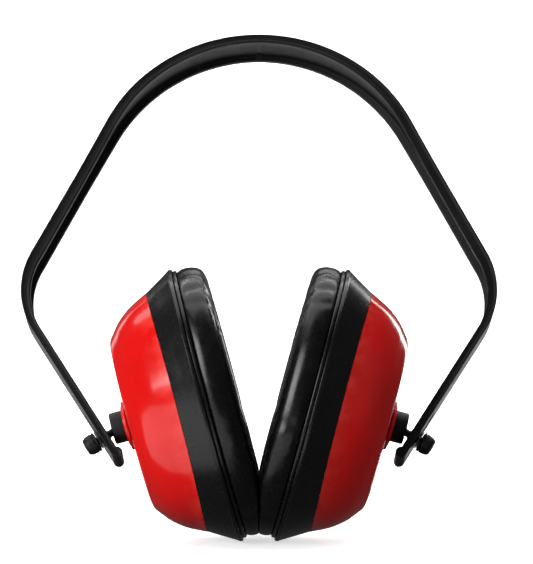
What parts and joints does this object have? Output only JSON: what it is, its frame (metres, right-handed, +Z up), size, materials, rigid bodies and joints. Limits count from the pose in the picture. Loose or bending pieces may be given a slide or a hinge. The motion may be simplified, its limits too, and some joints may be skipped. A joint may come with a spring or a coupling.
{
  "type": "earmuff hearing protector",
  "caption": "Hearing protector with a sprung angular headband and two oval ear cups on adjustable ball joints, with soft ear cushions.",
  "frame": {"origin": "bottom centre of the bounding box, on the plane of symmetry between the cups", "axes": "+Z up along the upright cups, +X from the left cup to the right cup as seen from the front, +Y to the back, where the headband leans"},
  "size_m": [0.1754, 0.0984, 0.1882],
  "materials": {
    "band_black": "satin black injection-moulded band",
    "joint_plastic": "satin black",
    "seat_plastic": "smooth dark grey",
    "spring_steel": "plain spring steel",
    "shell_red": "glossy red",
    "rim_black": "satin black",
    "cushion_skin": "glossy black soft vinyl with fine wrinkles",
    "foam": "open-cell grey foam"
  },
  "bodies": {
    "right_band": {"headband_right": "band_black", "right_leg_bead": "band_black"},
    "left_band": {"headband_left": "band_black", "left_leg_bead": "band_black"},
    "left_slider": {"left_pivot_stud": "joint_plastic", "left_spring_washer": "spring_steel", "left_height_knob": "joint_plastic"},
    "left_seat": {"left_ball_seat": "seat_plastic"},
    "left_collar": {"left_socket_collar": "joint_plastic", "left_retaining_clip": "spring_steel"},
    "left_cup": {"left_outer_shell": "shell_red", "left_rim_ring": "rim_black", "left_cushion_plate": "rim_black", "left_cushion_foam": "foam", "left_cushion_skin": "cushion_skin", "left_foam_liner": "foam"},
    "right_slider": {"right_pivot_stud": "joint_plastic", "right_spring_washer": "spring_steel", "right_height_knob": "joint_plastic"},
    "right_seat": {"right_ball_seat": "seat_plastic"},
    "right_collar": {"right_socket_collar": "joint_plastic", "right_retaining_clip": "spring_steel"},
    "right_cup": {"right_outer_shell": "shell_red", "right_rim_ring": "rim_black", "right_cushion_plate": "rim_black", "right_cushion_foam": "foam", "right_cushion_skin": "cushion_skin", "right_foam_liner": "foam"}
  },
  "joints": [
    {"name": "band_flex", "type": "hinge", "parent": "right_band", "child": "left_band", "pos_m": [0, 0.03983, 0.18507], "axis": [0, 0.9483, -0.3173], "range_deg": [0, 55], "stiffness_Nm_per_rad": 1.5, "springref_deg": -5.73},
    {"name": "left_height", "type": "slide", "parent": "left_band", "child": "left_slider", "axis": [-0.5373, 0.2676, 0.7998], "range_m": [0, 0.01]},
    {"name": "left_cup_tilt", "type": "hinge", "parent": "left_slider", "child": "left_seat", "pos_m": [-0.0499, -0.00821, 0.0415], "axis": [0, -1, 0], "range_deg": [-12, 0]},
    {"name": "left_cup_yaw", "type": "hinge", "parent": "left_seat", "child": "left_collar", "pos_m": [-0.0499, -0.00821, 0.0415], "axis": [-0.2588, 0, 0.9659], "range_deg": [-8, 8]},
    {"name": "left_cup_swivel", "type": "hinge", "parent": "left_collar", "child": "left_cup", "pos_m": [-0.0499, -0.00821, 0.0415], "axis": [-0.9659, 0, -0.2588], "continuous": true},
    {"name": "right_height", "type": "slide", "parent": "right_band", "child": "right_slider", "axis": [0.5373, 0.2676, 0.7998], "range_m": [0, 0.01]},
    {"name": "right_cup_tilt", "type": "hinge", "parent": "right_slider", "child": "right_seat", "pos_m": [0.0499, -0.00821, 0.0415], "axis": [0, 1, 0], "range_deg": [-12, 0]},
    {"name": "right_cup_yaw", "type": "hinge", "parent": "right_seat", "child": "right_collar", "pos_m": [0.0499, -0.00821, 0.0415], "axis": [-0.2588, 0, -0.9659], "range_deg": [-8, 8]},
    {"name": "right_cup_swivel", "type": "hinge", "parent": "right_collar", "child": "right_cup", "pos_m": [0.0499, -0.00821, 0.0415], "axis": [0.9659, 0, -0.2588], "continuous": true}
  ]
}
